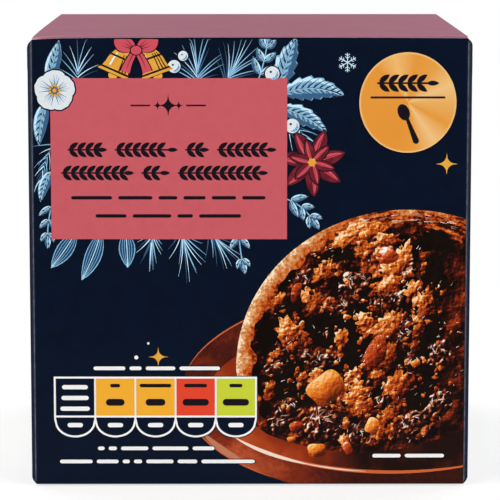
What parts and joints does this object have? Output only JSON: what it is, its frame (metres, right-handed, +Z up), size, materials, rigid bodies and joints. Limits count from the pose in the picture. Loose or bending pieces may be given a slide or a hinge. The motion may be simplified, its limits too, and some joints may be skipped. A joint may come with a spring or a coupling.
{
  "type": "christmas pudding carton",
  "caption": "Shut folding carton of printed board for a small Christmas pudding, with tuck-in lids at the top and base.",
  "frame": {"origin": "middle of the base, where the carton rests", "axes": "+Z up, the printed front wall faces -Y, +X to its right"},
  "size_m": [0.0804, 0.0804, 0.0825],
  "materials": {
    "printed_board": "satin"
  },
  "bodies": {
    "root": {"carton": "printed_board"}
  },
  "joints": []
}
